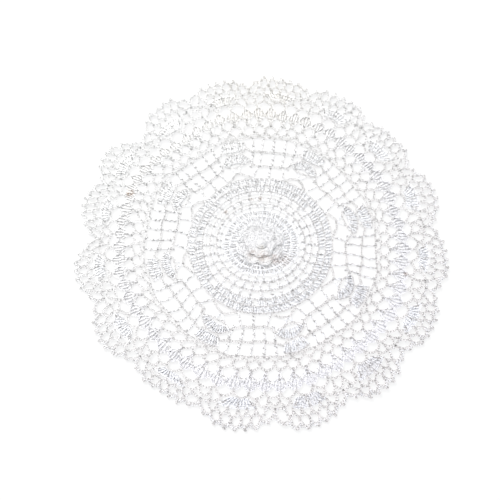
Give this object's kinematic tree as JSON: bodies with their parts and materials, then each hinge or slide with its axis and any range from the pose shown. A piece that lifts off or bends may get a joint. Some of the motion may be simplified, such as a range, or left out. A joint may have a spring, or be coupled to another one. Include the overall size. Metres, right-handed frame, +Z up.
{
  "type": "crocheted lace doily",
  "caption": "Round openwork crochet doily lying flat: a raised layered rose in the middle, panels of square net cells between fans, and a scalloped border.",
  "frame": {"origin": "centre of the doily, on its flat underside, below the rose", "axes": "+Z up from the table it lies on, +X to the right and +Y away from the viewer"},
  "size_m": [0.2964, 0.2998, 0.0098],
  "materials": {
    "white_cotton": "bleached mercerised cotton crochet thread, matt with a faint sheen, with a fine twist along each strand"
  },
  "bodies": {
    "root": {"doily": "white_cotton"}
  },
  "joints": []
}
